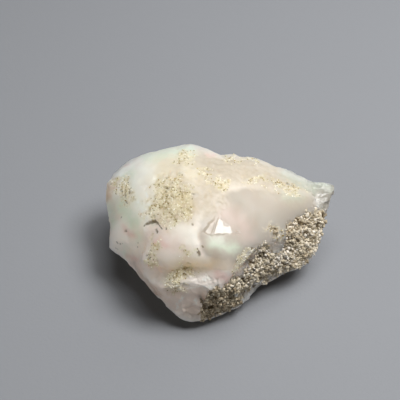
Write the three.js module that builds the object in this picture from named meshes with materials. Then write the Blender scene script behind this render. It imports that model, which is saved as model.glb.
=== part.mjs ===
// A rough opal nodule, one stone as it was dug: a milky rounded hump on the left, a fresh curved break
// across the front and right, a ledge under it, and a grainy crust of host rock still grown on its skin.
// Millimetres, +Z up. The origin is on the ground under the middle of the stone, -Y is its front.
import * as THREE from "three";
import { ConvexHull } from "three/addons/math/ConvexHull.js";
import { ImprovedNoise } from "three/addons/math/ImprovedNoise.js";
import { mergeVertices } from "three/addons/utils/BufferGeometryUtils.js";

// Driving dimensions, in millimetres unless the name says otherwise.
const heart = new THREE.Vector3(0, 0, 8); // every part of the skin can be seen from here
const meshDetail = 19; // 20 * (meshDetail + 1) ** 2 triangles
const roundingSamples = 40;
const crispEdge = THREE.MathUtils.degToRad(2.4); // how far edges are rounded, seen from the heart
const wornEdge = THREE.MathUtils.degToRad(8); // the same on the worn and curved faces
const baseHeight = 0; // the break that the stone lies on
const swell = { size: 7, height: 0.3 };
const dimple = { size: 2.4, height: 0.09 };
const crustGrain = { size: 1.5, height: 0.45, lift: 0.2 };
const crustFray = { size: 2.2, reach: 0.9 };

// Corners of the skin where its flat and curved faces meet, chosen by eye, going round the stone.
const corners = {
  backCrest: [
    [-8.2, 12.9, 15.2], [-5.2, 12.9, 16.05], [-2.2, 12.5, 15.3], [-0.9, 11.7, 14.7], [1.8, 12.4, 14.4],
    [5, 12.2, 14.1], [8, 11.2, 13.4], [10.8, 10.4, 12.4], [13, 9.6, 11.6],
  ],
  rightTip: [
    [14.7, 8.9, 11], [17, 9.4, 10.8], [18.9, 8.9, 10], [18, 6.2, 8.7], [15.3, 5.3, 11.9], [16.4, 4.4, 10.4],
  ],
  rightFlank: [
    [17, 4.2, 7.7], [16.7, 2.4, 6.2], [15.8, 0.2, 4.8], [14.3, -1.8, 4.2], [12.4, -3.2, 4.2],
    [10.2, -4.2, 4.4], [7.6, -5.9, 4], [5.9, -6.7, 3.4], [4.6, -8.6, 3], [3.3, -9.4, 2.5],
  ],
  frontFoot: [
    [1.4, -10, 2], [-0.3, -11, 1.9], [-2.1, -12, 1.8], [-4, -12.6, 1.9], [-5.6, -12.4, 2.4],
    [-7, -11.7, 3.1], [-8.6, -10.7, 3.9],
  ],
  leftFlank: [
    [-10.4, -9.1, 4.5], [-11.6, -7.6, 5], [-13.4, -5.5, 5.6], [-15, -3.9, 6.1], [-17.9, -1.8, 6.5],
    [-17.5, -0.2, 7.4], [-18.1, 2.2, 8], [-18.1, 4.1, 9], [-18.8, 8.9, 10.2], [-17.6, 11.4, 10.8],
    [-15.3, 12.9, 11.9], [-13, 13.2, 13.2], [-10.4, 13, 14.3],
  ],
  leftShoulder: [
    [-16.9, -0.3, 9.8], [-14.3, -3.8, 10.1], [-12.2, -7.3, 9], [-10.3, -9.7, 8], [-15.3, 0.4, 11.3],
    [-15.4, 4.2, 12.1], [-15.4, 8.9, 12.8], [-11.9, 8.8, 15.3], [-12, 3.4, 15.3], [-11.9, -1.2, 14.4],
    [-11.8, -5, 12.7], [-11.4, -8.2, 11.2],
  ],
  hump: [
    [-4.9, 0.3, 18.6], [-5.2, 6.4, 18.1], [-1, 3, 18.3], [3, 7.9, 16.2], [-8.4, 4.6, 17.4],
    [-8, -0.4, 16.8], [-8, -4.4, 15.5], [-7.9, -7.3, 14.2], [-7.8, -9, 12.4],
    [-4, -3.1, 17.8], [-4, -6.1, 16.8], [-3.9, -8.3, 15.6], [-3.8, -9.5, 14],
  ],
  freshBreak: [
    [0.7, -1.2, 17.4], [0.7, -4.2, 16.6], [0.5, -6.9, 15.7], [0.4, -8.5, 14.8], [0.4, -9.3, 13.6],
    [4.6, 1.8, 16.2], [4.6, -1.2, 15.4], [4.6, -3.9, 14.4], [4.4, -6.1, 13.1], [4, -7.3, 11.4],
    [8.5, 3.5, 15], [8.5, 0.6, 14.1], [8.4, -2.1, 12.9], [8.2, -4, 11.4],
    [12.6, 4.9, 13.3], [12.6, 2.7, 12.3], [12.5, 0.5, 11],
  ],
  groove: [[-8.1, -8.9, 10.3], [-4.9, -9.1, 11.2], [-1.7, -9.1, 11.3], [1.3, -8.9, 10.8]],
  ledge: [
    [-8.8, -11, 8.6], [-6.5, -11.8, 8.9], [-3.2, -12, 9], [0.2, -11.5, 8.6], [-3.8, -10.4, 10.3],
    [-0.9, -10.2, 10.2], [-5.4, -12.3, 5.6], [-3.2, -12.5, 5],
  ],
  crustBand: [[12.4, -1.9, 8], [9, -4.9, 7.6], [5.2, -7.9, 6.1], [0.6, -11.2, 5.4], [15.6, 1.8, 8.6]],
  backWall: [
    [-14.8, 12.8, 8], [-8.4, 14.8, 9], [-0.5, 15, 8.6], [6.6, 13.6, 8], [13, 11, 7.2], [-11, 13.2, 4.6],
    [2.4, 14, 4.2],
  ],
  underside: [
    [-4, -10.6, 0.2], [1, -8.4, 0.2], [6, -4.8, 0.8], [10.4, -1, 1.6], [12.8, 4, 2.6], [10.6, 8.8, 2.6],
    [4, 11.6, 1.4], [-4, 12.2, 1.8], [-11, 10.6, 2.6], [-14.8, 6, 3.2], [-13, 1.4, 2.8], [-10.2, -2.6, 2],
    [-7.4, -6.4, 1.4],
  ],
  base: [[-9, 5, -0.6], [-8, -3, -0.6], [0, -6, -0.6], [6, 0, -0.6], [5, 6, -0.6], [-3, 8, -0.6]],
};

// Curved breaks: balls taken out of the skin, each with the width over which its rim is worn.
const scoops = {
  tipChip: { centre: [21.6, 1.2, 14.6], radius: 6, wear: 0.5 },
  humpHollow: { centre: [-11.2, -3.7, 15.7], radius: 1.9, wear: 0.3 },
  backHollow: { centre: [-4, 25.5, 12.5], radius: 12.6, wear: 1 },
  rightBackBreak: { centre: [18.5, 19, 4], radius: 11.6, wear: 0.8 },
  leftBackChip: { centre: [-20.5, 15.5, 3.5], radius: 6.6, wear: 0.6 },
  leftUnderChip: { centre: [-19, -7.5, -2], radius: 9.4, wear: 0.8 },
};

// Faces that are smooth curves: how far around each point the corners are rounded away.
const smoothFaces = {
  bulge: { centre: [0.5, -4, 16], reach: 7 },
  broadBreak: { centre: [8, 0.5, 14], reach: 6.5 },
  hump: { centre: [-8, 6, 17], reach: 8 },
};

// Grainy crust: each patch follows a line of points on the skin, with the patch's half-width.
const crustPatches = {
  flankBand: {
    reach: 2.7,
    line: [[-1, -11.6, 3.6], [4, -8.8, 5.8], [8.5, -5.4, 7.2], [12.7, -2, 8], [16, 2.4, 8.4]],
  },
  humpPatch: { reach: 3.1, line: [[-9.4, -0.6, 16.2], [-6.8, 2.4, 18]] },
  ledgePatch: { reach: 1.9, line: [[-8, -10.4, 9.3], [-5.6, -9.8, 9.8]] },
  ridgePatch: { reach: 1.3, line: [[8.4, 4, 15.2], [12, 5, 13.8]] },
  backPatch: { reach: 3, line: [[-10, 14, 7], [-4, 13.6, 4.6], [1.6, 14, 6]] },
  rightUnderPatch: { reach: 2.4, line: [[12.6, 9, 6.4], [14, 4, 3.6]] },
};

const noise = new ImprovedNoise();

function noiseAt(point, size) {
  return noise.noise(point.x / size, point.y / size, point.z / size);
}

// Facets between neighbouring corners, each kept as the plane through them and the cone that it fills.
function makeFacets() {
  const points = Object.values(corners).flat().map((p) => new THREE.Vector3(...p).sub(heart));
  const spokes = points.map((p) => {
    const spoke = p.clone().normalize();
    spoke.corner = p;
    return spoke;
  });
  return new ConvexHull().setFromPoints(spokes).faces.map((face) => {
    const edge = face.edge;
    const [a, b, c] = [edge.head(), edge.next.head(), edge.next.next.head()].map((vertex) => vertex.point);
    const cone = new THREE.Matrix3().set(a.x, b.x, c.x, a.y, b.y, c.y, a.z, b.z, c.z).invert();
    const plane = new THREE.Plane().setFromCoplanarPoints(a.corner, b.corner, c.corner);
    return { cone, plane };
  });
}

const facets = makeFacets();

// Distance from the heart to the facets along a direction.
function facetDistance(direction) {
  const share = new THREE.Vector3();
  let bestShare = -Infinity;
  let best = null;
  for (const facet of facets) {
    share.copy(direction).applyMatrix3(facet.cone);
    const least = Math.min(share.x, share.y, share.z);
    if (least > bestShare) {
      bestShare = least;
      best = facet;
    }
  }
  return -best.plane.constant / best.plane.normal.dot(direction);
}

// How far the edges are rounded about a direction.
function roundingAt(direction) {
  const skin = direction.clone().multiplyScalar(facetDistance(direction)).add(heart);
  const shares = Object.values(smoothFaces).map(({ centre, reach }) => {
    return 1 - THREE.MathUtils.smoothstep(skin.distanceTo(new THREE.Vector3(...centre)), 0.4 * reach, reach);
  });
  return THREE.MathUtils.lerp(crispEdge, wornEdge, Math.max(...shares));
}

// The distance with worn edges: the mean over a small cone of directions.
function wornDistance(direction) {
  const rounding = roundingAt(direction);
  const side = new THREE.Vector3().crossVectors(direction, new THREE.Vector3(0.3, 0.5, 0.8)).normalize();
  const turn = Math.PI * (3 - Math.sqrt(5));
  const probe = new THREE.Vector3();
  let sum = 0;
  for (let i = 0; i < roundingSamples; i++) {
    const spread = rounding * Math.sqrt((i + 0.5) / roundingSamples);
    probe.copy(side).applyAxisAngle(direction, i * turn).multiplyScalar(Math.tan(spread)).add(direction);
    sum += facetDistance(probe.normalize());
  }
  return sum / roundingSamples;
}

// The lesser of two distances, with a soft change from one to the other.
function softMin(a, b, width) {
  const share = THREE.MathUtils.clamp(0.5 + (a - b) / (2 * width), 0, 1);
  return a + (b - a) * share - width * share * (1 - share);
}

// Distance along a direction to a ball that is scooped out, or far away where it misses.
function scoopDistance(direction, scoop) {
  const centre = new THREE.Vector3(...scoop.centre).sub(heart);
  const along = centre.dot(direction);
  const inside = scoop.radius ** 2 - (centre.lengthSq() - along ** 2);
  return along > 0 && inside > 0 ? along - Math.sqrt(inside) : 1000;
}

// Distance from a point to a patch's line of points.
function distanceToLine(point, line) {
  const nearest = new THREE.Vector3();
  const stretch = new THREE.Line3();
  let least = Infinity;
  for (let i = 1; i < line.length; i++) {
    stretch.set(new THREE.Vector3(...line[i - 1]), new THREE.Vector3(...line[i]));
    stretch.closestPointToPoint(point, true, nearest);
    least = Math.min(least, nearest.distanceTo(point));
  }
  return least;
}

// How much crust covers a point of the skin, from 0 to 1, with a frayed edge.
function crustCover(point) {
  const fray = crustFray.reach * noiseAt(point, crustFray.size);
  const covers = Object.values(crustPatches).map(({ line, reach }) => {
    const past = distanceToLine(point, line) + fray - reach;
    return 1 - THREE.MathUtils.smoothstep(past, -0.5, 0.5);
  });
  return Math.max(...covers);
}

// A point of the finished skin.
function skinPoint(direction) {
  let distance = wornDistance(direction);
  for (const scoop of Object.values(scoops)) {
    distance = softMin(distance, scoopDistance(direction, scoop), scoop.wear);
  }
  const point = direction.clone().multiplyScalar(distance).add(heart);
  const cover = crustCover(point);
  const grains = crustGrain.height * (Math.abs(noiseAt(point, crustGrain.size)) * 2 - 0.5) + crustGrain.lift;
  distance += swell.height * noiseAt(point, swell.size) + dimple.height * noiseAt(point, dimple.size);
  distance += cover * grains;
  point.copy(direction).multiplyScalar(distance).add(heart);
  point.z = Math.max(point.z, baseHeight);
  return point;
}

function makeStone() {
  const ball = new THREE.IcosahedronGeometry(1, meshDetail);
  ball.deleteAttribute("normal");
  ball.deleteAttribute("uv");
  const geometry = mergeVertices(ball, 1e-5);
  const positions = geometry.getAttribute("position");
  const direction = new THREE.Vector3();
  for (let i = 0; i < positions.count; i++) {
    const point = skinPoint(direction.fromBufferAttribute(positions, i).normalize());
    positions.setXYZ(i, point.x, point.y, point.z);
  }
  geometry.computeBoundingBox();
  const middle = geometry.boundingBox.getCenter(new THREE.Vector3());
  geometry.translate(-middle.x, -middle.y, 0);
  geometry.computeVertexNormals();
  return geometry;
}

const milkyOpal = new THREE.MeshStandardMaterial({ color: 0xe4d9c8, roughness: 0.35, metalness: 0 });
const stone = new THREE.Mesh(makeStone(), milkyOpal);
stone.name = "opal_nodule";

const specimen = new THREE.Group();
specimen.add(stone);

export default specimen;
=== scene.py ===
import math
import bmesh
import bpy
import numpy as np
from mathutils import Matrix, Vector, noise
from mathutils.bvhtree import BVHTree


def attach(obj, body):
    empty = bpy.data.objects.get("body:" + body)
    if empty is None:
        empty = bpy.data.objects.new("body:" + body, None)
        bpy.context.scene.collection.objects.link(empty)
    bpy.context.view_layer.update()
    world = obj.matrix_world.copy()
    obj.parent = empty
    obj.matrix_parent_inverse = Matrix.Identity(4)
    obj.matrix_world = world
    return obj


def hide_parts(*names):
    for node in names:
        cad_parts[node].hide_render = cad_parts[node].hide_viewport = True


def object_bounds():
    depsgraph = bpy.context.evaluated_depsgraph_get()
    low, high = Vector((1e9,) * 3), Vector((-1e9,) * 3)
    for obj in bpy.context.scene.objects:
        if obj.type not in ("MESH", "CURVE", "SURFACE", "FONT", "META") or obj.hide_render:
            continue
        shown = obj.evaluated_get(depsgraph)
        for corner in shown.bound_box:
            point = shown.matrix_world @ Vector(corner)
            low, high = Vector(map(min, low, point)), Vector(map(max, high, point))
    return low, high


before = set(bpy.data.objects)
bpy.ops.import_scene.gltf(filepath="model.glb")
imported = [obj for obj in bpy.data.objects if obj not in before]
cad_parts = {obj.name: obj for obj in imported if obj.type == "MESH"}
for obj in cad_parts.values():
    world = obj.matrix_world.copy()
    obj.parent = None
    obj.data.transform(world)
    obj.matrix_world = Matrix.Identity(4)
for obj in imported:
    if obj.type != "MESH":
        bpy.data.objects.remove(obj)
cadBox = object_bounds()
mm = 0.001


# The camera stands where the photographer's did. Pixels are counted in the 400 x 400 picture.
view = {
    "elevation": 48,
    "distance": 175 * mm,
    "lens": 100,
    "sensorWidth": 36,
    "imageWidth": 400,
    "lookAt": Vector((0.165, -1.232, 8)) * mm,
    "lookAtPixel": (220.8, 236),
}
focal = view["imageWidth"] * view["lens"] / view["sensorWidth"]  # in pixels


def makeCamera():
    data = bpy.data.cameras.new("photoCamera")
    data.lens = view["lens"]
    data.sensor_width = view["sensorWidth"]
    data.clip_start = 10 * mm
    camera = bpy.data.objects.new("photoCamera", data)
    bpy.context.scene.collection.objects.link(camera)
    bpy.context.scene.camera = camera
    down = math.radians(view["elevation"])
    ahead = Vector((0, math.cos(down), -math.sin(down)))
    up = Vector((0, math.sin(down), math.cos(down)))
    camera.location = view["lookAt"] - ahead * view["distance"]
    middle = view["imageWidth"] / 2
    across, below = view["lookAtPixel"]
    aim = ahead + Vector((1, 0, 0)) * ((middle - across) / focal) + up * ((below - middle) / focal)
    camera.rotation_euler = aim.to_track_quat("-Z", "Y").to_euler()
    bpy.context.view_layer.update()
    return camera


def cameraWays():  # to the right, up, and back towards the camera
    turn = camera.matrix_world.to_3x3()
    return [np.array(turn.col[i]) for i in range(3)]


camera = makeCamera()
print("camera set")


# Floor, lights and surroundings.
studio = {  # metres, degrees and watts
    "floorTint": "#8D8F93",
    "floorSize": 1.2,
    "floorRoughness": 0.8,
    "fibre": {"size": 0.5, "height": 0.1, "strength": 0.3},  # mm
    "lamps": {
        "key": {"turn": 2, "height": 64, "distance": 0.32, "size": 0.15, "power": 0.84},
        "top": {"turn": 45, "height": 80, "distance": 0.32, "size": 0.22, "power": 0.54},
        "back": {"turn": 60, "height": 40, "distance": 0.32, "size": 0.2, "power": 0.12},
        "front": {"turn": -60, "height": 5, "distance": 0.9, "size": 0.16, "power": 0.63},
        "left": {"turn": 200, "height": 3.8, "distance": 0.9, "size": 0.11, "power": 1.19},
    },
    "sky": "#C9CCD2",
    "skyStrength": 0.0015,
}


def lampPlace(plan):
    turn, height = math.radians(plan["turn"]), math.radians(plan["height"])
    along = math.cos(height)
    way = Vector((math.cos(turn) * along, math.sin(turn) * along, math.sin(height)))
    return view["lookAt"] + way * plan["distance"]


# Measuring between the picture and the stone.
def toPixels(points):
    turn = np.array(camera.matrix_world.to_3x3())
    local = (points - np.array(camera.location)) @ turn
    middle = view["imageWidth"] / 2
    across = middle + focal * local[:, 0] / -local[:, 2]
    below = middle - focal * local[:, 1] / -local[:, 2]
    return np.stack([across, below], axis=1)


def onStone(tree, pixel):
    middle = view["imageWidth"] / 2
    local = Vector(((pixel[0] - middle) / focal, (middle - pixel[1]) / focal, -1))
    ray = (camera.matrix_world.to_3x3() @ local).normalized()
    place, normal, _, _ = tree.ray_cast(camera.location, ray)
    if place is None:  # just off the edge of the stone
        place, normal, _, _ = tree.find_nearest(camera.location + ray * view["distance"])
    return np.array(place), np.array(normal)


def fade(low, high, values):
    share = np.clip((values - low) / (high - low), 0, 1)
    return share * share * (3 - 2 * share)


def distanceToLine(points, line):
    line = [np.array(p, float) for p in line]
    least = np.full(len(points), np.inf)
    for start, end in zip(line, line[1:] or line):  # a line may be one point
        along = end - start
        square = max(along @ along, 1e-12)  # never divides by nothing
        share = np.clip((points - start) @ along / square, 0, 1)
        least = np.minimum(least, np.linalg.norm(points - start - share[:, None] * along, axis=1))
    return least


def insideOutline(points, outline):
    inside = np.zeros(len(points), bool)
    x, y = points[:, 0], points[:, 1]
    for (x0, y0), (x1, y1) in zip(outline, outline[1:] + outline[:1]):
        crosses = (y0 > y) != (y1 > y)
        height = y1 - y0 if y1 != y0 else 1
        inside ^= crosses & (x < (x1 - x0) * (y - y0) / height + x0)
    return inside


def depthInside(points, outline):
    distance = distanceToLine(points, outline + outline[:1])
    return np.where(insideOutline(points, outline), distance, -distance)


def noiseOf(points, size, shift=0):
    return np.array([noise.noise(Vector(p) / size + Vector((shift, 0, 0))) for p in points])


def meshPoints(mesh):
    points = np.empty(len(mesh.vertices) * 3)
    mesh.vertices.foreach_get("co", points)
    return points.reshape(-1, 3)


def meshNormals(mesh):
    normals = np.empty(len(mesh.vertices) * 3)
    mesh.vertex_normals.foreach_get("vector", normals)
    return normals.reshape(-1, 3)


def setPoints(mesh, points):
    mesh.vertices.foreach_set("co", points.reshape(-1))
    mesh.update()


# The stone's skin: a finer copy of the solid, with its facets smoothed.
skinMesh = {
    "merge": 0.002,  # mm, between the corners of loose triangles
    "cuts": 3,
    "smoothing": [0.5, -0.5] * 9,  # in and out again keeps the size
    "finer": [  # outlines in pixels: once more for each that a place is in
        [(198, 208), (245, 208), (245, 240), (198, 240)],
        [(302, 178), (338, 178), (338, 216), (302, 216)],
        [(164, 266), (226, 266), (226, 294), (164, 294)],
        [(165, 294), (204, 294), (204, 314), (165, 314)],
        [(140, 216), (170, 216), (170, 236), (140, 236)],
        [(192, 244), (206, 244), (206, 258), (192, 258)],
        [(142, 218), (165, 218), (165, 234), (142, 234)],
        [(194, 246), (204, 246), (204, 257), (194, 257)],
        [(114, 183), (134, 183), (134, 206), (114, 206)],
        [(112, 239), (126, 239), (126, 253), (112, 253)],
        [(134, 240), (152, 240), (152, 262), (134, 262)],
    ],
}


def makeFiner(mesh):
    for outline in skinMesh["finer"]:
        points = meshPoints(mesh)
        toViewer = meshNormals(mesh) @ cameraWays()[2]
        inside = insideOutline(toPixels(points), outline) & (toViewer > 0)
        bm = bmesh.new()
        bm.from_mesh(mesh)
        edges = [edge for edge in bm.edges if all(inside[vert.index] for vert in edge.verts)]
        bmesh.ops.subdivide_edges(bm, edges=edges, cuts=1, use_grid_fill=True)
        bmesh.ops.triangulate(bm, faces=[face for face in bm.faces if len(face.verts) > 3])
        bm.to_mesh(mesh)
        bm.free()


def makeFineStone():
    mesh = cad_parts["opal_nodule"].data.copy()
    mesh.name = "dressedStone"
    bm = bmesh.new()
    bm.from_mesh(mesh)
    bmesh.ops.remove_doubles(bm, verts=bm.verts[:], dist=skinMesh["merge"] * mm)
    bmesh.ops.subdivide_edges(bm, edges=bm.edges[:], cuts=skinMesh["cuts"], use_grid_fill=True)
    bmesh.ops.triangulate(bm, faces=bm.faces[:])
    bm.to_mesh(mesh)
    bm.free()
    mesh.materials.clear()
    mesh.shade_smooth()
    edges = np.empty(len(mesh.edges) * 2, np.int64)
    mesh.edges.foreach_get("vertices", edges)
    edges = edges.reshape(-1, 2)
    count = np.bincount(edges.reshape(-1), minlength=len(mesh.vertices))[:, None]
    points = meshPoints(mesh)
    for share in skinMesh["smoothing"]:
        total = np.zeros_like(points)
        for axis in range(3):
            total[:, axis] += np.bincount(edges[:, 0], points[edges[:, 1], axis], len(points))
            total[:, axis] += np.bincount(edges[:, 1], points[edges[:, 0], axis], len(points))
        points = (1 - share) * points + share * total / count
    setPoints(mesh, points)
    makeFiner(mesh)
    stone = bpy.data.objects.new("dressedStone", mesh)
    bpy.context.scene.collection.objects.link(stone)
    return stone


stone = makeFineStone()
print("fine stone:", len(stone.data.vertices), "points,", len(stone.data.polygons), "triangles")


# Where each finish lies, in pixels of the picture for the side that it shows, and in mm for the rest.
bandArea = [
    (326, 214), (316, 212), (303, 216), (292, 222), (287, 231), (289, 241), (284, 256), (274, 255),
    (269, 246), (262, 244), (256, 251), (254, 259), (249, 266), (243, 274), (232, 280), (222, 286),
    (213, 292), (205, 300), (199, 310), (203, 323), (215, 323), (228, 317), (243, 310), (250, 303),
    (259, 296), (268, 288), (278, 282), (290, 276), (302, 270), (314, 263), (323, 250), (329, 233),
    (331, 220),
]
lipLine = [(234, 270), (240, 264), (245, 257), (250, 251)]
smallGrainLine = [(272, 228), (278, 233)]
bareRim = [(284, 275), (272, 278), (262, 287), (250, 300), (240, 306)]
freshArea = [
    (198, 238), (200, 222), (206, 210), (214, 201), (231, 191), (246, 188), (265, 189), (284, 192),
    (299, 195), (314, 194), (316, 210), (303, 216), (292, 222), (287, 231), (283, 252), (262, 244),
    (252, 250), (242, 262), (230, 266), (214, 262), (202, 252),
]
tipChips = [
    [(313, 189), (321, 188), (322, 194), (315, 196)], [(322, 188), (331, 189), (329, 195), (323, 194)],
    [(318, 196), (327, 196), (326, 202), (319, 203)], [(317, 204), (325, 203), (324, 211), (319, 211)],
    [(328, 196), (333, 193), (331, 204), (327, 205)], [(304, 185), (311, 187), (310, 192), (305, 190)],
]
ledgeChips = [
    [(202, 279), (206.5, 273.5), (208, 277), (205, 282)],
    [(206.5, 274), (211, 278), (209, 281), (206, 279)],
    [(197, 279), (202, 275.5), (203, 279), (199, 282)],
    [(209, 281), (213, 280), (212, 284), (207, 284)],
    [(200, 283), (205, 282), (207, 285), (202, 286)], [(191, 280), (196, 277), (197, 281), (193, 283)],
    [(213, 278), (218, 279), (217, 283), (213, 283)], [(186, 274), (191, 273), (194, 276), (189, 278)],
]
humpChips = [
    [(142, 188), (146, 186), (147, 190), (143, 191)], [(146, 193), (150, 194), (149, 198), (146, 197)],
    [(125, 176), (131, 174), (132, 177), (127, 179)], [(136, 200), (140, 198), (140, 203), (136, 204)],
]
lobeChips = [
    [(177, 306.5), (180, 300.5), (184.5, 297), (182, 304)],
    [(193, 304), (196, 301.5), (197, 306), (194, 310)],
    [(173, 307), (176, 305.5), (177, 309), (174.5, 310.5)],
]
ledgeRim = [(178, 291), (190, 290), (205, 287.5), (218, 286.5)]
finishes = {  # outlines, or lines with their reach; frayed and soft are in pixels too
    "band": {"outlines": [bandArea], "frayed": 5.5, "soft": 2, "lines": [(smallGrainLine, 2.2)]},
    "patch": {
        "frayed": 7,
        "soft": 4.5,
        "lines": [
            ([(166, 182), (157, 202), (151, 212)], 7),
            ([(176, 186), (170, 216)], 10),
            ([(188, 192), (186, 214)], 6),
            ([(178, 157), (189, 158)], 3.5),
            ([(121, 187), (128, 197)], 7),
            ([(214, 186), (223, 184)], 4),
            ([(276, 186), (298, 191)], 4),
            ([(250, 182), (264, 180)], 2.5),
            ([(157, 243), (151, 262)], 4.2),
            ([(187, 271), (176, 275), (169, 286), (178, 288)], 6.5),
            (smallGrainLine, 4.5),
            ([(229, 160), (236, 158)], 2.5),
            ([(248, 156), (256, 159)], 1.5),
            ([(205, 172), (209, 182)], 2.5),
            ([(184, 256), (191, 251)], 2.8),
        ],
    },
    "bare": {
        "frayed": 2,
        "soft": 1.5,
        "lines": [
            ([(288, 276), (272, 280)], 2.5),
            ([(259, 293), (246, 305)], 2.5),
            ([(201, 299), (204, 303)], 1.5),
        ],
    },
    "lip": {"frayed": 1.5, "soft": 1.2, "lines": [(lipLine, 3.2), ([(242, 261), (249, 253)], 5.5)]},
    "pale": {
        "frayed": 4,
        "soft": 5,
        "lines": [([(259, 250), (272, 260)], 7), ([(276, 264), (292, 254)], 6)],
    },
    # browner, darker grains at the band's lower left, partly painted shade
    "duskyAndShade": {"frayed": 4, "soft": 8, "lines": [([(208, 312), (236, 300)], 12)]},
    "stain": {
        "frayed": 5,
        "soft": 11,
        "lines": [
            ([(174, 168), (174, 205)], 13),
            ([(185, 165), (205, 180), (205, 200)], 18),
            ([(205, 168), (250, 170), (296, 190)], 13),
            ([(170, 278), (185, 270)], 8),
        ],
    },
    "cream": {
        "frayed": 4,
        "soft": 11,
        "lines": [([(164, 158), (170, 205)], 14), ([(182, 162), (192, 174)], 8)],
    },
    # whiter milky skin on the hump, partly painted light that lifts its left side and middle
    "brightAndPaintedLight": {
        "frayed": 3,
        "soft": 14,
        "lines": [
            ([(128, 176), (136, 200), (142, 226)], 17),
            ([(145, 168), (180, 152)], 12),
            ([(148, 172), (158, 184)], 10),
            ([(160, 232), (190, 240)], 8),
        ],
    },
    # warm pinkish beige on the lower left, made pale as painted light on the shaded cheek
    "rosyAndPaintedLight": {
        "frayed": 3,
        "soft": 16,
        "lines": [([(125, 245), (150, 268), (160, 290)], 18), ([(165, 240), (195, 245)], 14)],
    },
    # warm tint in the crease under the bulge, kept pale: partly painted light against the crease's shade
    "groove": {"frayed": 2, "soft": 6, "lines": [([(170, 264), (190, 262), (215, 264), (236, 268)], 5)]},
    "fresh": {"outlines": [freshArea], "frayed": 1, "soft": 3},
    "clear": {
        "frayed": 2,
        "soft": 5,
        "lines": [
            ([(316, 188), (328, 192), (322, 208)], 7),
            ([(276, 245), (288, 248)], 7),
            ([(244, 267), (256, 260)], 4),
            (bareRim, 4),
        ],
    },
    # the shaded front wall, made paler to make up for the light it lacks: painted light
    "lobe": {"frayed": 2, "soft": 6, "lines": [([(165, 296), (185, 304), (200, 306)], 14)]},
    # the shelf below the groove, made paler to stand for the light on it: painted light
    "ledge": {"frayed": 2, "soft": 6, "lines": [([(180, 282), (216, 281)], 8)]},
    "ochre": {
        "frayed": 4,
        "soft": 6,
        "lines": [([(184, 197), (192, 207)], 5), ([(161, 222), (168, 231)], 2)],
    },
    # a brown spot on the lobe, plus painted shade at the lobe's foot and along the lower-left edge
    "umberAndShade": {
        "frayed": 2,
        "soft": 4,
        "lines": [
            ([(200, 298), (206, 302)], 3),
            ([(186, 313), (200, 315)], 3.5),
            ([(134, 264), (146, 283), (156, 297)], 2),
        ],
    },
    "tip": {"frayed": 3, "soft": 7, "lines": [([(318, 190), (330, 193), (325, 207)], 5)]},
    "glassy": {
        "frayed": 3,
        "soft": 6,
        "lines": [([(286, 174), (300, 182), (313, 188)], 4), ([(284, 196), (300, 198)], 3)],
    },
    "green": {
        "frayed": 3,
        "soft": 7,
        "lines": [
            ([(124, 207), (133, 221)], 6),
            ([(109, 208), (112, 224)], 4),
            ([(146, 157), (168, 151), (190, 149)], 5),
            ([(122, 176), (132, 174)], 3),
            ([(213, 243), (234, 249)], 4.5),
            ([(254, 300), (258, 294)], 2),
            ([(262, 262), (266, 266)], 2),
            ([(317, 184), (329, 187)], 1.5),
            ([(124, 251), (126, 257)], 2.5),
            ([(137, 233), (139, 239)], 2.5),
        ],
    },
    "pink": {
        "frayed": 2,
        "soft": 3.5,
        "lines": [
            ([(124, 166), (127, 164)], 1.8),
            ([(124, 230), (133, 235)], 2.2),
            ([(128, 256), (136, 260)], 2),
            ([(160, 241), (168, 246)], 2.8),
            ([(219, 274), (228, 280)], 5),
            ([(208, 155), (214, 154)], 1.5),
        ],
    },
    "blush": {
        "frayed": 3,
        "soft": 10,
        "lines": [
            ([(228, 214), (240, 222), (246, 234)], 8),
            ([(150, 235), (175, 245)], 10),
            ([(140, 262), (160, 268)], 6),
            ([(218, 272), (230, 278)], 8),
        ],
    },
    # painted shade: darker towards the right end of the fresh break
    "paintedShade": {"frayed": 2, "soft": 26, "lines": [([(312, 208), (292, 228)], 14)]},
    "rust": {
        "frayed": 3,
        "soft": 4,
        "lines": [
            ([(109, 184), (110, 200)], 2.5),
            ([(116, 180), (112, 190)], 2),
            ([(204, 299), (208, 304)], 1.5),
            ([(151, 287), (157, 296)], 1.2),
        ],
    },
    # whitish crushed chips, partly painted glints and highlights where chips and edges catch the light
    "frostAndHighlight": {
        "outlines": tipChips[2:4] + ledgeChips[:2] + lobeChips,
        "frayed": 1.2,
        "soft": 0.9,
        "lines": [
            # the ledge rim, the tip's top edge and the hump spots: painted highlights
            (ledgeRim, 0.8),
            ([(210, 287), (218, 286.5)], 1.2),
            ([(315, 184), (328, 186)], 0.8),
            ([(276, 246), (283, 245)], 0.8),
            ([(143, 188), (147, 187)], 0.8),
            ([(147, 194), (149, 197)], 0.6),
            ([(126, 177), (131, 175)], 0.6),
        ],
    },
}
wandering = {  # noise that frays the finishes, sizes in mm
    "coarse": {"size": 1.1, "share": 1, "shift": 31},
    "fine": {"size": 0.45, "share": 0.6, "shift": 57},
    "broad": {"size": 2.4, "share": 0.8, "shift": 48},
}
clumps = {  # how the host rock breaks up: sizes in mm, edges as values of the noise
    "bandSize": 1.7,
    "bandGapWidth": 0.16,
    "bandSandLoss": 0.9,
    "patchSize": 0.42,
    "patchFray": 0.4,
    "patchGapEdge": (0.08, 0.4),
    "patchSandEdge": (-0.15, 0.25),
}
frosting = {"size": 0.3, "least": 0.3, "edge": 0.1, "tipLoss": 0.6}  # size in mm
shownEdge = 0.12  # cosine over which a finish fades out at the outline
rearLowest = -0.6  # the back's finish leaves out what faces down more than this
hiddenBands = {
    "back": {"line": [(-10, 12.8, 7), (-4, 12.4, 4.6), (1.8, 12.8, 6)], "reach": 2.7},
    "rightUnder": {"line": [(12.8, 7.8, 6.4), (14.2, 2.8, 3.6)], "reach": 2.1},
}
hiddenEdge = {"frayed": 1.4, "soft": 0.3}  # mm


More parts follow.
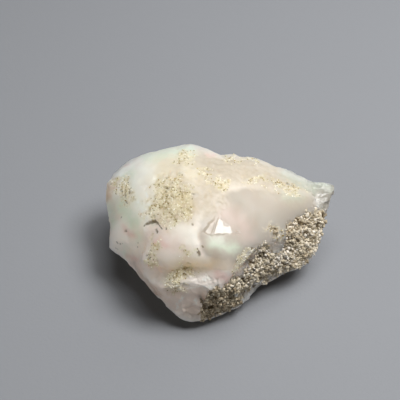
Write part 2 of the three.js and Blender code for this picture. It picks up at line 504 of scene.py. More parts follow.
def coverOf(finish, pixels, wander, facing):
    places = pixels + wander * finish["frayed"]
    cover = np.zeros(len(pixels))
    for outline in finish.get("outlines", []):
        cover = np.maximum(cover, fade(-finish["soft"], finish["soft"], depthInside(places, outline)))
    for line, reach in finish.get("lines", []):
        away = reach - distanceToLine(places, line)
        cover = np.maximum(cover, fade(-finish["soft"], finish["soft"], away))
    return cover * facing


def findFinishes():
    points = meshPoints(stone.data)
    normals = meshNormals(stone.data)
    toCamera = np.array(camera.location) - points
    toCamera /= np.linalg.norm(toCamera, axis=1)[:, None]
    facing = fade(0, shownEdge, np.sum(normals * toCamera, axis=1))
    pixels = toPixels(points)
    noises = {
        name: [noiseOf(points, plan["size"] * mm, shift) for shift in (0, plan["shift"])]
        for name, plan in wandering.items()
    }
    wander = sum(plan["share"] * np.stack(noises[name], axis=1) for name, plan in wandering.items())
    covers = {name: coverOf(finish, pixels, wander, facing) for name, finish in finishes.items()}
    frayed = noises["coarse"][0] * hiddenEdge["frayed"] * mm
    soft = hiddenEdge["soft"] * mm
    for patch in hiddenBands.values():
        line = np.array(patch["line"]) * mm
        away = patch["reach"] * mm - distanceToLine(points, line) + frayed
        covers["band"] = np.maximum(covers["band"], fade(-soft, soft, away))
    covers["band"] *= 1 - covers["bare"]
    covers["patch"] *= 1 - covers["band"]
    covers["fresh"] *= 1 - np.maximum(covers["band"], covers["patch"])
    covers["rear"] = (1 - facing) * (normals[:, 2] > rearLowest) * (1 - covers["band"])
    lumps = noiseOf(points, clumps["bandSize"] * mm, 9)
    covers["bandGap"] = covers["band"] * (1 - fade(0, clumps["bandGapWidth"], np.abs(lumps)))
    covers["bandSand"] = covers["band"] * (1 - clumps["bandSandLoss"] * covers["bandGap"])
    lumps = noiseOf(points, clumps["patchSize"] * mm, 77) + clumps["patchFray"] * noises["coarse"][1]
    covers["patchGap"] = covers["patch"] * fade(*clumps["patchGapEdge"], lumps)
    covers["lip"] *= 1 - covers["band"]
    covers["patch"] = np.maximum(covers["patch"], covers["lip"])
    sand = covers["patch"] * (1 - fade(*clumps["patchSandEdge"], lumps))
    covers["patchSand"] = np.maximum(sand, covers["lip"])
    broken = fade(-frosting["edge"], frosting["edge"], noiseOf(points, frosting["size"] * mm, 91))
    covers["frostAndHighlight"] *= frosting["least"] + (1 - frosting["least"]) * broken
    covers["frostAndHighlight"] *= 1 - frosting["tipLoss"] * covers["tip"]
    return covers


covers = findFinishes()
print("finishes placed")


# Relief that is too fine for the solid. Pixels place it, and its sizes are in mm.
relief = {
    "bandSink": 0.34,
    "patchSink": 0.04,
    "freshStep": 0.05,
    "lip": {"reach": 0.7, "height": 0.3, "top": 0.1},
    "bandGap": 0.32,
    "patchGap": 0.1,
    "stainGrit": {"size": 0.55, "height": 0.09},
    "frostGrit": {"size": 0.4, "height": 0.09},
    "tipGrit": {"size": 0.33, "height": 0.05},
    "skinRipple": {"size": 1.3, "height": 0.08},
    "skinGrain": {"size": 0.35, "height": 0.022},
    "freshRipple": {"size": 2.6, "height": 0.05},
}
pits = {
    "crackLeft": {"line": [(144, 226), (147, 224)], "reach": 0.14, "depth": 0.08},
    "crackMiddle": {"line": [(147, 224), (151, 222), (155, 221.5)], "reach": 0.34, "depth": 0.14},
    "crackTop": {"line": [(152, 221), (155, 220.5), (158, 224)], "reach": 0.26, "depth": 0.16},
    "crackRight": {"line": [(158, 224), (162, 229)], "reach": 0.14, "depth": 0.1},
    "underCrack": {"line": [(156, 230), (157, 232)], "reach": 0.26, "depth": 0.2},
    "besideCrack": {"line": [(166, 228), (166, 229)], "reach": 0.18, "depth": 0.14},
    "slit": {"line": [(197.5, 249), (198, 252)], "reach": 0.2, "depth": 0.14},
    "slitFoot": {"line": [(198.3, 252), (199.5, 254.5)], "reach": 0.34, "depth": 0.16},
    "lipHole": {"line": [(252, 249), (252, 250)], "reach": 0.3, "depth": 0.5},
    "leftSpot": {"line": [(125, 231), (126, 231)], "reach": 0.22, "depth": 0.16},
    "lowSpotA": {"line": [(115.5, 248.5)], "reach": 0.15, "depth": 0.14},
    "lowSpotD": {"line": [(117.5, 249.5)], "reach": 0.15, "depth": 0.14},
    "lowSpotB": {"line": [(116.5, 242), (117.5, 243.5)], "reach": 0.13, "depth": 0.1},
    "lowSpotE": {"line": [(119.5, 244), (120.5, 244)], "reach": 0.13, "depth": 0.1},
    "lowSpotF": {"line": [(122.5, 243.5)], "reach": 0.12, "depth": 0.1},
    "cheekSpotA": {"line": [(137.5, 243)], "reach": 0.16, "depth": 0.12},
    "cheekSpotB": {"line": [(137.5, 247)], "reach": 0.14, "depth": 0.12},
    "patchSpotA": {"line": [(118, 186), (119, 187)], "reach": 0.22, "depth": 0.18},
    "patchSpotB": {"line": [(129, 190), (129, 193)], "reach": 0.25, "depth": 0.2},
    "patchSpotD": {"line": [(121, 190), (122, 191)], "reach": 0.2, "depth": 0.15},
    "patchSpotE": {"line": [(125, 195), (125, 197)], "reach": 0.2, "depth": 0.15},
    "patchSpotC": {"line": [(126, 202), (127, 203)], "reach": 0.18, "depth": 0.15},
    "humpSpotA": {"line": [(165, 187), (169, 188)], "reach": 0.24, "depth": 0.24},
    "humpSpotB": {"line": [(166, 178), (167, 178)], "reach": 0.2, "depth": 0.2},
    "humpSpotC": {"line": [(193, 194), (194, 194)], "reach": 0.18, "depth": 0.14},
    "middleSpot": {"line": [(192, 224), (193, 225)], "reach": 0.18, "depth": 0.12},
    "slitSpot": {"line": [(202, 246), (203, 247)], "reach": 0.15, "depth": 0.1},
    "footSpot": {"line": [(146.5, 255.5)], "reach": 0.17, "depth": 0.18},
    "lowSpotC": {"line": [(149, 258), (150, 259)], "reach": 0.16, "depth": 0.14},
    "ridgeSpot": {"line": [(287, 183), (288, 184)], "reach": 0.2, "depth": 0.2},
    "greenSpot": {"line": [(121, 217), (121, 218)], "reach": 0.14, "depth": 0.08},
}
swells = {  # soft rises and hollows, sizes in mm
    "humpShoulder": {"line": [(132, 196)], "height": 0.65, "reach": 6.5},
    "humpEdge": {"line": [(110, 196)], "height": 0.4, "reach": 4.2},
    "ridgeTop": {"line": [(189, 220)], "height": -0.25, "reach": 2.4},
    "ridgeFoot": {"line": [(194, 238)], "height": -0.3, "reach": 2.4},
    "underBulge": {"line": [(228, 264)], "height": 0.4, "reach": 3},
    "tipTop": {"line": [(322, 190), (327, 190)], "height": 0.3, "reach": 1.6},
    "tipCorner": {"line": [(331, 192), (332, 198)], "height": 0.5, "reach": 1.3},
    "edgeStep": {"line": [(110, 184)], "height": 0.3, "reach": 0.9},
    "pinkHollow": {"line": [(222, 274)], "height": 0.6, "reach": 2.6},
    "humpSide": {"line": [(164, 200)], "height": 0.15, "reach": 4},
    "middle": {"line": [(163, 240)], "height": 0.5, "reach": 4.5},
    "lowerLeft": {"line": [(150, 264)], "height": 0.5, "reach": 5},
    "grooveFill": {"line": [(172, 262)], "height": 0.5, "reach": 3},
    "grooveRight": {"line": [(200, 262)], "height": 0.3, "reach": 2.5},
}
farRidge = {  # a swell just behind the outline, so its line is in mm
    "line": [
        (10.3, 9, 12.4), (12, 8.4, 11.8), (13.5, 7.6, 11.5),
        (14.4, 7.7, 10.8), (15.4, 7.3, 11.1), (17.4, 7.5, 10.5),
    ],
    "height": 0.6,
    "reach": 1.8,
}
flatBreaks = {
    "humpSide": {"at": (147, 184), "depth": 0.08, "lean": (0, 2), "reach": 3.6},
    "humpCorner": {"at": (130, 176), "depth": 0.08, "lean": (-4, 3), "reach": 3},
    "leftCheek": {"at": (136, 238), "depth": 0.1, "lean": (0, -2), "reach": 3},
    "edgeHigh": {"at": (119, 168), "depth": 0.14, "lean": (0, 0), "reach": 1.6},
    "edgeMiddle": {"at": (110, 186), "depth": 0.12, "lean": (0, 4), "reach": 1.5},
    "edgeLow": {"at": (110, 206), "depth": 0.12, "lean": (0, -4), "reach": 1.4},
    "edgeCheek": {"at": (111, 228), "depth": 0.14, "lean": (0, 4), "reach": 1.6},
    "edgeFoot": {"at": (118, 254), "depth": 0.14, "lean": (0, 0), "reach": 1.6},
    "edgeUnder": {"at": (150, 286), "depth": 0.12, "lean": (0, 0), "reach": 1.5},
    "edgeLobe": {"at": (176, 314), "depth": 0.12, "lean": (0, 0), "reach": 1.6},
    "edgeTop": {"at": (152, 143), "depth": 0.08, "lean": (0, 0), "reach": 2},
}
glossChips = {  # flat chips that mirror the key light
    "main": {
        "corners": [(219, 215), (222, 219), (225, 224), (230, 226), (232, 230), (239, 233), (212, 235)],
        "off": 0,
    },
    "wedge": {"corners": [(218, 215), (212, 235), (203, 232), (209, 224)], "off": 7, "hinge": (215, 226)},
}
glossCut = {"most": 0.4, "soft": 1.6}  # mm, pixels
flatChips = {  # glint: how far they turn to mirror the key light
    "tip": {"corners": tipChips, "seed": 4, "tilt": 12, "glint": 0.3, "most": 0.16},
    "ledge": {"corners": ledgeChips, "seed": 9, "tilt": 14, "glint": 0.6, "most": 0.25},
    "lobe": {"corners": lobeChips, "seed": 6, "tilt": 10, "glint": 0.85, "most": 0.3},
    "hump": {"corners": humpChips, "seed": 13, "tilt": 6, "glint": 0.4, "most": 0.12},
}
smallBreaks = {  # little flat breaks strewn over the glassy places and the back
    "clear": {"count": 110, "seed": 15, "depth": (0.02, 0.12), "reach": (0.5, 1.3), "tilt": 24},
    "lobe": {"count": 70, "seed": 16, "depth": (0.01, 0.08), "reach": (0.6, 1.8), "tilt": 13},
    "rear": {"count": 90, "seed": 17, "depth": (0.02, 0.1), "reach": (1, 3), "tilt": 8},
}
shells = {
    "ledgeA": {"at": (196, 281), "depth": 0.1, "radius": 1.8},
    "ledgeB": {"at": (222, 279), "depth": 0.12, "radius": 3},
    "lobeA": {"at": (178, 302), "depth": 0.2, "radius": 3.4},
    "lobeB": {"at": (194, 304), "depth": 0.16, "radius": 2.2},
    "lobeC": {"at": (186, 312), "depth": 0.16, "radius": 2.4},
    "lobeD": {"at": (172, 308), "depth": 0.14, "radius": 2},
    "lobeE": {"at": (197, 314), "depth": 0.12, "radius": 1.6},
}
rearPits = {"seed": 12, "count": 26, "depth": (0.04, 0.14), "reach": (0.12, 0.34)}
manyShells = {"seed": 11, "count": 70, "depth": (0.03, 0.14), "radius": (1.2, 4.5)}
pitting = {"raggedSize": 0.35, "ragged": 0.45, "slope": (0.2, 1), "dirt": (0.2, 1.2)}
cutting = {
    "rim": 0.8,          # share of a break's reach at which it starts to run out
    "ragged": 0.35,
    "breakNoise": 1.5,   # mm
    "smallNoise": 0.7,   # mm
    "chipNoise": 0.5,    # mm
    "chipFray": 1.1,     # pixels
    "chipSoft": 0.6,     # pixels
    "chipNear": 4,       # mm, so that a chip leaves the far side alone
    "covered": 0.4,      # cover from which a place counts as part of a finish
    "rearCovered": 0.5,
    "rearFacing": 0.25,  # how far to the back a place faces that gets shells
    "overFloor": 0.5,    # mm
    "clearGloss": 0.7,   # share of the skin's relief that clear places lose
}


def cutPlane(points, place, normal, reach, ragged):
    above = (points - place) @ normal
    away = np.linalg.norm(points - place, axis=1) * (1 + ragged)
    share = 1 - fade(cutting["rim"] * reach, reach, away)
    return points - (np.maximum(above, 0) * share)[:, None] * normal


def cutBall(points, centre, radius):
    away = points - centre
    distance = np.linalg.norm(away, axis=1)
    push = np.where(distance < radius, radius / np.maximum(distance, 1e-9), 1)
    return centre + away * push[:, None]


def wanderingPixels(points):  # so that the edges of chips are ragged
    ways = [noiseOf(points, cutting["chipNoise"] * mm, shift) for shift in (41, 64)]
    return toPixels(points) + cutting["chipFray"] * np.stack(ways, axis=1)


def middleOf(tree, corners):
    return np.mean([onStone(tree, corner)[0] for corner in corners], axis=0)


def flattenChip(points, place, corners, normal, most, soft):  # most: how far a point may move, in mm
    inside = fade(-soft, soft, depthInside(wanderingPixels(points), corners))
    near = np.linalg.norm(points - place, axis=1) < cutting["chipNear"] * mm
    above = np.clip((points - place) @ normal, -most * mm, most * mm)
    return points - (above * inside * near)[:, None] * normal


def mirrorWay(middle):  # the way that a chip faces when it mirrors the key light
    toEye = np.array(camera.location) - middle
    toKey = np.array(lampPlace(studio["lamps"]["key"])) - middle
    way = toEye / np.linalg.norm(toEye) + toKey / np.linalg.norm(toKey)
    return way / np.linalg.norm(way)


def carveChips(points, tree):
    right, up, _ = cameraWays()
    for chip in glossChips.values():
        place = middleOf(tree, chip["corners"])
        normal = mirrorWay(place) - right * math.sin(math.radians(chip["off"]))
        normal /= np.linalg.norm(normal)
        if "hinge" in chip:  # meets the plane of the chip before it
            place = onStone(tree, chip["hinge"])[0]
            place = place - ((place - lastPlace) @ lastNormal) * lastNormal
        points = flattenChip(points, place, chip["corners"], normal, glossCut["most"], glossCut["soft"])
        lastPlace, lastNormal = place, normal
    for plan in flatChips.values():
        draw = np.random.RandomState(plan["seed"])
        tilt = math.sin(math.radians(plan["tilt"]))
        for corners in plan["corners"]:
            normals = [onStone(tree, corner)[1] for corner in corners]
            place = middleOf(tree, corners)
            normal = np.mean(normals, axis=0) * (1 - plan["glint"]) + mirrorWay(place) * plan["glint"]
            normal = normal + right * draw.uniform(-tilt, tilt) + up * draw.uniform(-tilt, tilt)
            normal = normal / np.linalg.norm(normal)
            points = flattenChip(points, place, corners, normal, plan["most"], cutting["chipSoft"])
    return points


def carveSmallBreaks(points, ragged):
    right, up, _ = cameraWays()
    normals = meshNormals(stone.data)
    for name, plan in smallBreaks.items():
        draw = np.random.RandomState(plan["seed"])
        tilt = math.sin(math.radians(plan["tilt"]))
        for spot in draw.choice(np.flatnonzero(covers[name] > cutting["covered"]), plan["count"]):
            normal = normals[spot] + right * draw.uniform(-tilt, tilt) + up * draw.uniform(-tilt, tilt)
            normal /= np.linalg.norm(normal)
            depth, reach = draw.uniform(*plan["depth"]) * mm, draw.uniform(*plan["reach"]) * mm
            points = cutPlane(points, points[spot] - normal * depth, normal, reach, ragged)
    return points


def stoneTree(points):
    faces = [tuple(face.vertices) for face in stone.data.polygons]
    return BVHTree.FromPolygons([tuple(p) for p in points], faces)


def raiseSwells(points, normals):
    tree = stoneTree(points)
    lines = [([onStone(tree, pixel)[0] for pixel in swell["line"]], swell) for swell in swells.values()]
    lines.append((np.array(farRidge["line"]) * mm, farRidge))
    rise = np.zeros(len(points))
    for line, swell in lines:
        away = distanceToLine(points, line) / (swell["reach"] * mm)
        rise += swell["height"] * mm * (1 - fade(0, 1, away))
    return points + normals * rise[:, None]


def breakStone(points, normals, tree):
    right, up, _ = cameraWays()
    ragged = cutting["ragged"] * noiseOf(points, cutting["breakNoise"] * mm, 19)
    for cut in flatBreaks.values():
        place, normal = onStone(tree, cut["at"])
        sideways, upwards = [math.tan(math.radians(angle)) for angle in cut["lean"]]
        normal = normal + right * sideways + up * upwards
        normal /= np.linalg.norm(normal)
        points = cutPlane(points, place - normal * cut["depth"] * mm, normal, cut["reach"] * mm, ragged)
    for shell in shells.values():
        place, normal = onStone(tree, shell["at"])
        centre = place + normal * (shell["radius"] - shell["depth"]) * mm
        points = cutBall(points, centre, shell["radius"] * mm)
    ragged = cutting["ragged"] * noiseOf(points, cutting["smallNoise"] * mm, 19)
    points = carveSmallBreaks(carveChips(points, tree), ragged)
    draw = np.random.RandomState(manyShells["seed"])
    bare = (covers["lobe"] > cutting["covered"]) | (normals[:, 1] > cutting["rearFacing"])
    spots = np.flatnonzero(bare & (points[:, 2] > cutting["overFloor"] * mm))
    for spot in draw.choice(spots, manyShells["count"]):
        radius = draw.uniform(*manyShells["radius"]) * mm
        depth = draw.uniform(*manyShells["depth"]) * mm
        points = cutBall(points, points[spot] + normals[spot] * (radius - depth), radius)
    return points


def sinkPits(points, tree):  # how deep each place sinks, in mm, and how dirty it is
    sunk = np.zeros(len(points))
    dirt = np.zeros(len(points))
    ragged = pitting["ragged"] * noiseOf(points, pitting["raggedSize"] * mm, 83)
    holes = []
    for pit in pits.values():
        line = [onStone(tree, pixel)[0] for pixel in pit["line"]]
        holes.append((line, pit["reach"], pit["depth"]))
    draw = np.random.RandomState(rearPits["seed"])
    for spot in draw.choice(np.flatnonzero(covers["rear"] > cutting["rearCovered"]), rearPits["count"]):
        holes.append(([points[spot]], draw.uniform(*rearPits["reach"]), draw.uniform(*rearPits["depth"])))
    for line, reach, depth in holes:
        away = distanceToLine(points, line) / (reach * mm) + ragged
        sunk += depth * (1 - fade(*pitting["slope"], away))
        dirt = np.maximum(dirt, 1 - fade(*pitting["dirt"], away))
    return sunk, dirt


def carveStone():
    points = raiseSwells(meshPoints(stone.data), meshNormals(stone.data))
    setPoints(stone.data, points)
    tree = stoneTree(points)
    points = breakStone(points, meshNormals(stone.data), tree)
    setPoints(stone.data, points)
    normals = meshNormals(stone.data)
    lower, covers["dirt"] = sinkPits(points, tree)
    lower += relief["bandSink"] * covers["band"] + relief["patchSink"] * covers["patch"]
    lower += relief["freshStep"] * covers["fresh"]
    lower += relief["bandGap"] * covers["bandGap"] + relief["patchGap"] * covers["patchGap"]
    lip = relief["lip"]
    away = distanceToLine(points, [onStone(tree, pixel)[0] for pixel in lipLine]) / (lip["reach"] * mm)
    lower -= lip["height"] * (1 - fade(lip["top"], 1, away))
    skin = 1 - np.maximum(covers["fresh"], cutting["clearGloss"] * covers["clear"])
    sharing = {
        "skinRipple": skin,
        "skinGrain": skin,
        "freshRipple": 1 - skin,
        "stainGrit": covers["stain"],
        "frostGrit": covers["frostAndHighlight"],
        "tipGrit": covers["tip"],
    }
    for name, share in sharing.items():
        lower += relief[name]["height"] * share * noiseOf(points, relief[name]["size"] * mm)
    points = points - normals * lower[:, None] * mm
    setPoints(stone.data, np.clip(points, np.array(cadBox[0]), np.array(cadBox[1])))
    chips = [depthInside(wanderingPixels(points), chip["corners"]) for chip in glossChips.values()]
    shown = normals @ cameraWays()[1] > 0
    covers["gloss"] = fade(-cutting["chipSoft"], cutting["chipSoft"], np.max(chips, axis=0)) * shown
    for name, cover in covers.items():
        stone.data.attributes.new(name, "FLOAT", "POINT").data.foreach_set("value", cover)


carveStone()
print("stone carved")


# Materials.
def linear(hexColour):
    parts = [int(hexColour[i:i + 2], 16) / 255 for i in (1, 3, 5)]
    return [p / 12.92 if p <= 0.04045 else ((p + 0.055) / 1.055) ** 2.4 for p in parts] + [1]


def addNode(tree, kind, links=(), **settings):
    node = tree.nodes.new(kind)
    for name, value in settings.items():
        setattr(node, name, value)
    for socket, source in dict(links).items():
        if isinstance(source, bpy.types.NodeSocket):
            tree.links.new(source, node.inputs[socket])
        else:
            node.inputs[socket].default_value = source
    return node


def newMaterial(name):
    material = bpy.data.materials.new(name)
    material.use_nodes = True
    tree = material.node_tree
    return material, tree, tree.nodes["Principled BSDF"]


milkyOpal = {
    "skin": ("#E4DACC", "#D8CDBF"),  # mottled with clouds
    # Each layer lies over the ones before it. It has a share, or a mottle with the values between
    # which it fades in, then a tint, and where it is mottled the mottle with a second tint.
    "layers": {
        # whiter milky skin, partly painted light on the hump's left side and middle
        "brightAndPaintedLight": (("clouds", 4, 0), "#FDF8E8"),
        # warm pinkish beige, made pale as painted light on the shaded left cheek
        "rosyAndPaintedLight": (0.85, "#FBECDE"),
        "fresh": (1, "#BEB6A9", ("clouds", "#BBAEA0")),
        # painted shade, darker towards the right end of the fresh break
        "paintedShade": (0.85, "#B7AFA2"),
        "clear": (0.8, "#C0B5A8"),
        # paler shelf below the groove: painted light
        "ledge": (0.8, "#F0E6DC"),
        # the shaded front wall made paler: painted light
        "lobe": (0.85, "#EDDACB"),
        # brown spot, plus painted shade at the lobe's foot and the lower-left edge
        "umberAndShade": (0.6, "#A39184"),
        "tip": (0.8, "#807F76"),
        "stain": (0.9, "#C8BDAB", ("blotches", "#C0B49F")),
        "cream": (0.8, "#EBE0C8"),
        "ochre": (0.6, "#D3BE94"),
        # warm crease tint kept pale: partly painted light against its shade
        "groove": (0.8, "#F4E5D0"),
        "glassy": (0.75, "#BCC2B2"),
        "green": (0.7, "#DCEAD3"),
        "blush": (0.5, "#DDC7BD"),
        "pink": (0.75, "#EAC8BC"),
        "rust": (0.7, "#C39A76"),
        "patch": (("blotches", -0.4, 1.1), "#E9DFC2"),
        "patchGap": (("specks", -1, 1), "#B09F6A"),
        "bare": (0.8, "#93887A"),
        "band": (1, "#B3A58B"),
        "bandGap": (1, "#83745A"),
        # whitish crushed chips, partly painted highlights and glints
        "frostAndHighlight": (0.9, "#F7F4EC"),
        "dirt": (0.75, "#6B5E40"),
    },
    "mottles": {  # sizes in mm, and the values of the noise between which they show
        "clouds": {"size": 4, "detail": 3, "edge": (0.35, 0.7)},
        "blotches": {"size": 0.9, "detail": 5, "edge": (0.38, 0.62)},
        "specks": {"size": 0.28, "detail": 2, "edge": (0.6, 0.72)},
    },
    "skinRoughness": 0.48,
    "roughness": {
        "fresh": 0.42, "clear": 0.25, "ledge": 0.3, "lobe": 0.35,
        "patch": 0.75, "band": 0.9, "frostAndHighlight": 0.22, "gloss": 0.14,
    },
    "grain": {"strength": 0.25, "height": 0.06},  # mm
    "ior": 1.45,
    "lightReach": 13,  # mm that light travels inside the milk
    "lightTint": (1, 0.9, 0.8),
    "bruise": 1.5,  # cover at which no light would travel inside
}


def perMm(size):
    return 1000 / size  # texture scale for a feature of this size on a model in metres


def mathOf(tree, operation, *parts, kind="ShaderNodeMath"):
    return addNode(tree, kind, dict(enumerate(parts)), operation=operation).outputs[0]


def rampOf(tree, value, low, high):
    edges = {"Value": value, "From Min": low, "From Max": high}
    return addNode(tree, "ShaderNodeMapRange", edges).outputs[0]


def mixOf(tree, share, under, over):
    tints = {0: share, 6: under, 7: over}
    return addNode(tree, "ShaderNodeMix", tints, data_type="RGBA").outputs[2]


def coverIn(tree, name):
    return addNode(tree, "ShaderNodeAttribute", attribute_name=name).outputs["Fac"]


def mottleOf(tree, place, size, detail):
    texture = {"Vector": place, "Scale": perMm(size), "Detail": detail}
    return addNode(tree, "ShaderNodeTexNoise", texture).outputs["Fac"]


def linkBump(tree, shader, height, plan):
    bump = {"Height": height, "Strength": plan["strength"], "Distance": plan["height"] * mm}
    tree.links.new(addNode(tree, "ShaderNodeBump", bump).outputs[0], shader.inputs["Normal"])


def opalMaterial():  # milky common opal: waxy dug skin, glassy where it broke
    look = milkyOpal
    material, tree, shader = newMaterial("milkyOpal")
    place = addNode(tree, "ShaderNodeTexCoord").outputs["Object"]
    cover = {name: coverIn(tree, name) for name in {**look["layers"], **look["roughness"]}}
    noises, mottle = {}, {}
    for name, plan in look["mottles"].items():
        noises[name] = mottleOf(tree, place, plan["size"], plan["detail"])
        mottle[name] = rampOf(tree, noises[name], *plan["edge"])
    colour = mixOf(tree, mottle["clouds"], *[linear(tint) for tint in look["skin"]])
    for name, (share, tint, *mottled) in look["layers"].items():
        tint = linear(tint)
        if isinstance(share, tuple):
            share = rampOf(tree, mottle[share[0]], *share[1:])
        for kind, second in mottled:
            tint = mixOf(tree, mottle[kind], tint, linear(second))
        colour = mixOf(tree, mathOf(tree, "MULTIPLY", cover[name], share), colour, tint)
    tree.links.new(colour, shader.inputs["Base Color"])
    roughness = look["skinRoughness"]
    for name, value in look["roughness"].items():
        roughness = addNode(tree, "ShaderNodeMix", {0: cover[name], 2: roughness, 3: value}).outputs[0]
    tree.links.new(roughness, shader.inputs["Roughness"])
    height = mathOf(tree, "MULTIPLY", rampOf(tree, cover["fresh"], 1, 0), noises["specks"])
    linkBump(tree, shader, height, look["grain"])
    bruised = cover["lobe"]  # broken glassy stone scatters light near its surface
    for name in ("ledge", "tip"):
        bruised = mathOf(tree, "MAXIMUM", bruised, cover[name])
    tree.links.new(rampOf(tree, bruised, look["bruise"], 0), shader.inputs["Subsurface Weight"])
    shader.inputs["Subsurface Radius"].default_value = look["lightTint"]
    shader.inputs["Subsurface Scale"].default_value = look["lightReach"] * mm
    shader.inputs["IOR"].default_value = look["ior"]
    return material


sandTones = [
    (0, "#8F8068"), (0.12, "#B0A187"), (0.35, "#C5B79D"),
    (0.65, "#D3C7AF"), (0.9, "#DFD5C3"), (1, "#EEE6D9"),
]
creamTones = [(0, "#9C8D62"), (0.12, "#D6CAA0"), (0.35, "#EAE1C3"), (0.7, "#F4EDD8"), (1, "#FCF9EE")]
darkTones = [(0, "#7C6A3E"), (0.5, "#AA965C"), (1, "#CDBB85")]
grainLook = {
    "dust": 0.5,  # mm
    "dustShare": 0.5,
    # pale grains are lighter; dusky ones are browner and darker, partly painted shade
    "regions": {"pale": 0.3, "duskyAndShade": -0.35},
    "middle": 0.25,
    "roughness": 0.8,
    "ior": 1.5,
}


def grainMaterial(name, tones):  # dull quartz and feldspar sand, cemented with clay
    material, tree, shader = newMaterial(name)
    tone = coverIn(tree, "tone")
    place = addNode(tree, "ShaderNodeTexCoord").outputs["Object"]
    dust = mottleOf(tree, place, grainLook["dust"], 3)
    share = mathOf(tree, "MULTIPLY_ADD", dust, grainLook["dustShare"], tone)
    for region, shift in grainLook["regions"].items():
        share = mathOf(tree, "MULTIPLY_ADD", coverIn(tree, region), shift, share)
    share = mathOf(tree, "SUBTRACT", share, grainLook["middle"])
    colours = addNode(tree, "ShaderNodeValToRGB", {0: share})
    steps = colours.color_ramp.elements
    while len(steps) < len(tones):
        steps.new(0.5)
    for step, (at, tint) in zip(steps, tones):
        step.position = at
        step.color = linear(tint)
    tree.links.new(colours.outputs[0], shader.inputs["Base Color"])
    shader.inputs["Roughness"].default_value = grainLook["roughness"]
    shader.inputs["IOR"].default_value = grainLook["ior"]
    return material


stone.data.materials.append(opalMaterial())
print("opal material made")


# Grains of host rock, strewn by Geometry Nodes where the crust is.
grains = {  # sizes in mm
    "bandGrains": {
        "cover": "bandSand", "size": 0.6, "spacing": 0.4, "sink": 0.14, "seed": 3, "tones": sandTones,
    },
    "bandGrit": {
        "cover": "bandSand", "size": 0.34, "spacing": 0.32, "sink": 0.0, "seed": 8, "tones": sandTones,
    },
    "patchGrains": {
        "cover": "patchSand", "size": 0.21, "spacing": 0.18, "sink": 0.05, "seed": 5, "tones": creamTones,
    },
    "patchSpecks": {
        "cover": "patchGap", "size": 0.2, "spacing": 0.26, "sink": 0.02, "seed": 6, "tones": darkTones,
    },
}
grainShape = {
    "subdivisions": (1, 1, 2, 2),  # one shape for each
    "variantShift": 7.3,
    "lumpScale": 2.2,
    "lumpiness": 1.3,
    "turn": 6.283,
    "stretch": (0.6, 1.4),
    "lift": (-1.3, 0.5),  # as shares of the sink
    "coverEdge": (0.1, 0.8),
    "densest": 3e7,  # per square metre
}


def scaled(tree, way, scale):
    return addNode(tree, "ShaderNodeVectorMath", {0: way, "Scale": scale}, operation="SCALE").outputs[0]


def randomShare(tree, low, high, seed):
    values = {2: low, 3: high, "Seed": seed}
    return addNode(tree, "FunctionNodeRandomValue", values, data_type="FLOAT").outputs[1]


def randomWay(tree, low, high, seed):
    values = {"Min": (low,) * 3, "Max": (high,) * 3, "Seed": seed}
    return addNode(tree, "FunctionNodeRandomValue", values, data_type="FLOAT_VECTOR").outputs[0]


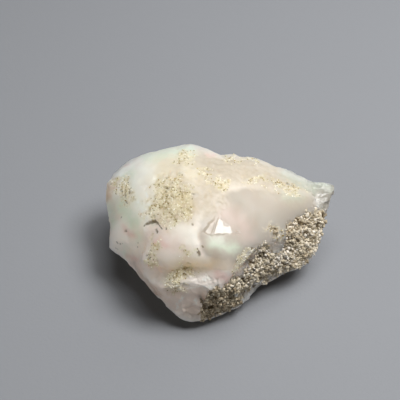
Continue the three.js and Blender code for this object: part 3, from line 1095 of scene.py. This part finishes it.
def grainTree(name, cover, material):
    tree = bpy.data.node_groups.new(name, "GeometryNodeTree")
    face = tree.interface
    face.new_socket("Geometry", in_out="INPUT", socket_type="NodeSocketGeometry")
    for label in ("Grain Size", "Spacing", "Sink"):
        face.new_socket(label, in_out="INPUT", socket_type="NodeSocketFloat")
    face.new_socket("Seed", in_out="INPUT", socket_type="NodeSocketInt")
    face.new_socket("Geometry", in_out="OUTPUT", socket_type="NodeSocketGeometry")
    given = addNode(tree, "NodeGroupInput").outputs
    share = addNode(tree, "GeometryNodeInputNamedAttribute", {"Name": cover}, data_type="FLOAT")
    share = rampOf(tree, share.outputs["Attribute"], *grainShape["coverEdge"])
    strewn = addNode(
        tree, "GeometryNodeDistributePointsOnFaces",
        {
            "Mesh": given["Geometry"], "Distance Min": given["Spacing"],
            "Density Max": grainShape["densest"], "Density Factor": share, "Seed": given["Seed"],
        },
        distribute_method="POISSON",
    )
    shapes = addNode(tree, "GeometryNodeJoinGeometry")
    for variant, level in enumerate(grainShape["subdivisions"]):
        ball = addNode(tree, "GeometryNodeMeshIcoSphere", {"Radius": 0.5, "Subdivisions": level})
        where = addNode(tree, "GeometryNodeInputPosition").outputs[0]
        shift = (variant * grainShape["variantShift"], 0, 0)
        moved = mathOf(tree, "ADD", where, shift, kind="ShaderNodeVectorMath")
        texture = {"Vector": moved, "Scale": grainShape["lumpScale"], "Detail": 1}
        lumps = addNode(tree, "ShaderNodeTexNoise", texture).outputs["Color"]
        lumps = mathOf(tree, "SUBTRACT", lumps, (0.5, 0.5, 0.5), kind="ShaderNodeVectorMath")
        shape = {"Geometry": ball.outputs["Mesh"], "Offset": scaled(tree, lumps, grainShape["lumpiness"])}
        shaped = addNode(tree, "GeometryNodeSetPosition", shape)
        rounded = addNode(tree, "GeometryNodeSetShadeSmooth", {"Geometry": shaped.outputs[0]})
        single = addNode(tree, "GeometryNodeGeometryToInstance", {"Geometry": rounded.outputs[0]})
        tree.links.new(single.outputs[0], shapes.inputs[0])
    turn = randomWay(tree, 0, grainShape["turn"], 21)
    stretch = randomWay(tree, *grainShape["stretch"], 22)
    lift = mathOf(tree, "MULTIPLY", randomShare(tree, *grainShape["lift"], 23), given["Sink"])
    way = scaled(tree, strewn.outputs["Normal"], lift)
    raised = addNode(tree, "GeometryNodeSetPosition", {"Geometry": strewn.outputs["Points"], "Offset": way})
    placed = addNode(
        tree, "GeometryNodeInstanceOnPoints",
        {
            "Points": raised.outputs[0], "Instance": shapes.outputs[0], "Pick Instance": True,
            "Rotation": turn, "Scale": scaled(tree, stretch, given["Grain Size"]),
        },
    )
    toned = addNode(
        tree, "GeometryNodeStoreNamedAttribute",
        {"Geometry": placed.outputs[0], "Name": "tone", "Value": randomShare(tree, 0, 1, 24)},
        data_type="FLOAT", domain="INSTANCE",
    )
    solid = addNode(tree, "GeometryNodeRealizeInstances", {"Geometry": toned.outputs[0]})
    sanded = {"Geometry": solid.outputs[0], "Material": material}
    finished = addNode(tree, "GeometryNodeSetMaterial", sanded)
    addNode(tree, "NodeGroupOutput", {0: finished.outputs[0]})
    return tree


def strewGrains(name, plan):
    material = grainMaterial(name + "Sand", plan["tones"])
    tree = grainTree(name + "Tree", plan["cover"], material)
    carrier = bpy.data.objects.new(name + "Carrier", stone.data)
    bpy.context.scene.collection.objects.link(carrier)
    modifier = carrier.modifiers.new("strew", "NODES")
    modifier.node_group = tree
    values = {
        "Grain Size": plan["size"] * mm,
        "Spacing": plan["spacing"] * mm,
        "Sink": plan["sink"] * mm,
        "Seed": plan["seed"],
    }
    for item in tree.interface.items_tree:
        if item.in_out == "INPUT" and item.name in values:
            modifier[item.identifier] = values[item.name]
    graph = bpy.context.evaluated_depsgraph_get()
    mesh = bpy.data.meshes.new_from_object(carrier.evaluated_get(graph), depsgraph=graph)
    carrier.modifiers.remove(modifier)
    bpy.data.objects.remove(carrier)
    mesh.name = name
    setPoints(mesh, np.clip(meshPoints(mesh), np.array(cadBox[0]), np.array(cadBox[1])))
    piece = bpy.data.objects.new(name, mesh)
    bpy.context.scene.collection.objects.link(piece)
    print(name, len(mesh.polygons), "faces")
    return piece


grainPieces = [strewGrains(name, plan) for name, plan in grains.items()]


def makeStudio():
    half = studio["floorSize"] / 2
    mesh = bpy.data.meshes.new("studioFloor")
    corners = [(-half, -half, 0), (half, -half, 0), (half, half, 0), (-half, half, 0)]
    mesh.from_pydata(corners, [], [(0, 1, 2, 3)])
    floor = bpy.data.objects.new("studioFloor", mesh)
    bpy.context.scene.collection.objects.link(floor)
    material, tree, shader = newMaterial("floorPaper")
    place = addNode(tree, "ShaderNodeTexCoord").outputs["Object"]
    fibre = studio["fibre"]
    linkBump(tree, shader, mottleOf(tree, place, fibre["size"], 2), fibre)
    shader.inputs["Base Color"].default_value = linear(studio["floorTint"])
    shader.inputs["Roughness"].default_value = studio["floorRoughness"]
    mesh.materials.append(material)
    for name, plan in studio["lamps"].items():
        data = bpy.data.lights.new(name + "Softbox", "AREA")
        data.shape = "DISK"
        data.size = plan["size"]
        data.energy = plan["power"]
        lamp = bpy.data.objects.new(name + "Softbox", data)
        lamp.location = lampPlace(plan)
        lamp.rotation_euler = (view["lookAt"] - lamp.location).to_track_quat("-Z", "Y").to_euler()
        bpy.context.scene.collection.objects.link(lamp)
    world = bpy.data.worlds.new("studioRoom")
    world.use_nodes = True
    backdrop = world.node_tree.nodes["Background"]
    backdrop.inputs["Color"].default_value = linear(studio["sky"])
    backdrop.inputs["Strength"].default_value = studio["skyStrength"]
    bpy.context.scene.world = world
    bpy.context.scene.view_settings.view_transform = "Standard"


makeStudio()
print("studio set")

for piece in [stone] + grainPieces:
    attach(piece, "root")
    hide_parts("opal_nodule")
